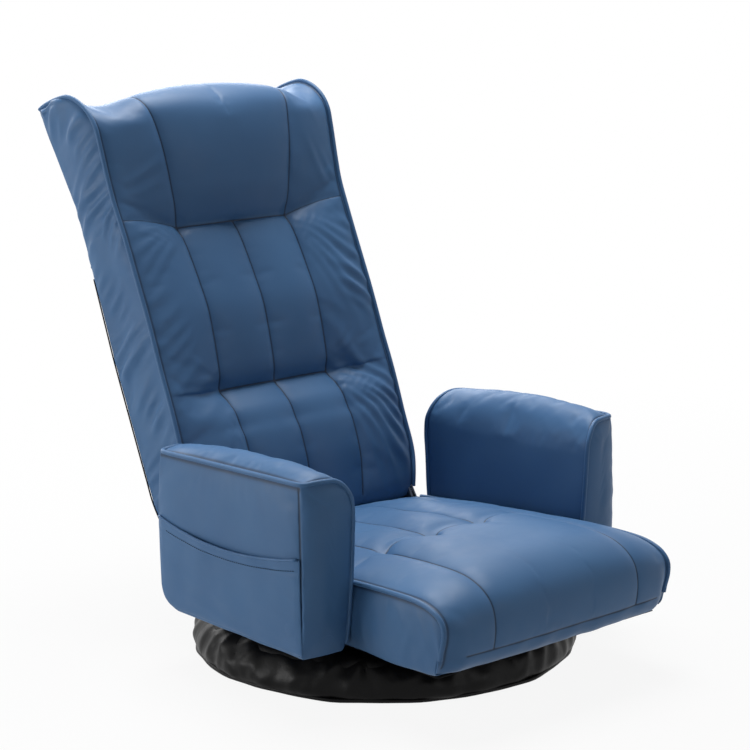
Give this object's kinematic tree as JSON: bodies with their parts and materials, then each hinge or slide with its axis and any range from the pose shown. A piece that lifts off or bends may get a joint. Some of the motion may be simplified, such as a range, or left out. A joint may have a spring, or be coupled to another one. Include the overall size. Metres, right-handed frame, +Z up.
{
  "type": "swivel floor chair",
  "caption": "Low upholstered chair on a swivelling cushioned base, with padded arms and side pockets and a high back that reclines flat in ratchet steps.",
  "frame": {"origin": "on the floor under the swivel, where the swivel's axis meets the flat underside of the base", "axes": "+Z up along the swivel's axis, +Y from the front of the seat towards the back, +X to the left arm of a person sitting in the chair"},
  "size_m": [0.604, 0.8865, 0.791],
  "materials": {
    "blue_leatherette": "satin",
    "black_leatherette": "satin",
    "black_cloth": "matte",
    "foam": "matte",
    "webbing": "matte",
    "black_steel": "satin",
    "zinc_steel": "satin",
    "spring_steel": "polished",
    "brass": "satin"
  },
  "bodies": {
    "base": {"base_bottom_cloth": "black_cloth", "base_ring": "black_steel", "base_cross_bars": "black_steel", "base_foam": "foam", "base_cover": "black_leatherette", "swivel_lower_plate": "zinc_steel", "swivel_lower_bolts": "zinc_steel", "swivel_pin": "zinc_steel"},
    "ball_cage": {"ball_cage": "brass", "swivel_balls": "spring_steel"},
    "seat": {"swivel_upper_plate": "zinc_steel", "seat_rails": "black_steel", "seat_rail_bolts": "zinc_steel", "seat_bottom_cloth": "black_cloth", "seat_frame": "black_steel", "seat_cross_bars": "black_steel", "seat_webbing": "webbing", "seat_cushion": "blue_leatherette", "arm_frame_left": "black_steel", "arm_frame_right": "black_steel", "arm_brackets": "zinc_steel", "arm_bracket_bolts": "zinc_steel", "arm_pad_left": "blue_leatherette", "arm_pad_right": "blue_leatherette", "arm_pocket_left": "blue_leatherette", "arm_pocket_right": "blue_leatherette", "hinge_inner_plate_left": "zinc_steel", "hinge_inner_plate_right": "zinc_steel", "hinge_outer_plate_left": "zinc_steel", "hinge_outer_plate_right": "zinc_steel", "hinge_pin_left": "zinc_steel", "hinge_pin_right": "zinc_steel", "pawl_pin_left": "zinc_steel", "pawl_pin_right": "zinc_steel", "pawl_spring_left": "spring_steel", "pawl_spring_right": "spring_steel", "hinge_gusset": "black_cloth"},
    "back": {"hinge_gear_left": "zinc_steel", "hinge_gear_right": "zinc_steel", "back_frame": "black_steel", "back_cross_bars": "black_steel", "back_webbing": "webbing", "back_cushion": "blue_leatherette", "back_lower_roll": "blue_leatherette", "back_rear_cloth": "black_cloth"},
    "pawl_left": {"pawl_left": "zinc_steel"},
    "pawl_right": {"pawl_right": "zinc_steel"}
  },
  "joints": [
    {"name": "swivel", "type": "hinge", "parent": "base", "child": "seat", "pos_m": [0, 0, 0.05], "axis": [0, 0, 1], "continuous": true},
    {"name": "bearing", "type": "hinge", "parent": "base", "child": "ball_cage", "pos_m": [0, 0, 0.05], "axis": [0, 0, 1], "continuous": true},
    {"name": "recline", "type": "hinge", "parent": "seat", "child": "back", "pos_m": [0, 0.175, 0.151], "axis": [1, 0, 0], "range_deg": [-67.5, 78.75], "deforming": ["back_lower_roll", "hinge_gusset"]},
    {"name": "pawl_turn_left", "type": "hinge", "parent": "seat", "child": "pawl_left", "pos_m": [0, 0.146, 0.128], "axis": [1, 0, 0], "range_deg": [0, 8], "stiffness_Nm_per_rad": 0.02, "deforming": ["pawl_spring_left"]},
    {"name": "pawl_turn_right", "type": "hinge", "parent": "seat", "child": "pawl_right", "pos_m": [0, 0.146, 0.128], "axis": [1, 0, 0], "range_deg": [0, 8], "stiffness_Nm_per_rad": 0.02, "deforming": ["pawl_spring_right"]}
  ],
  "couplings": [
    {"joint": "bearing", "follows": "swivel", "ratio": 0.5}
  ]
}
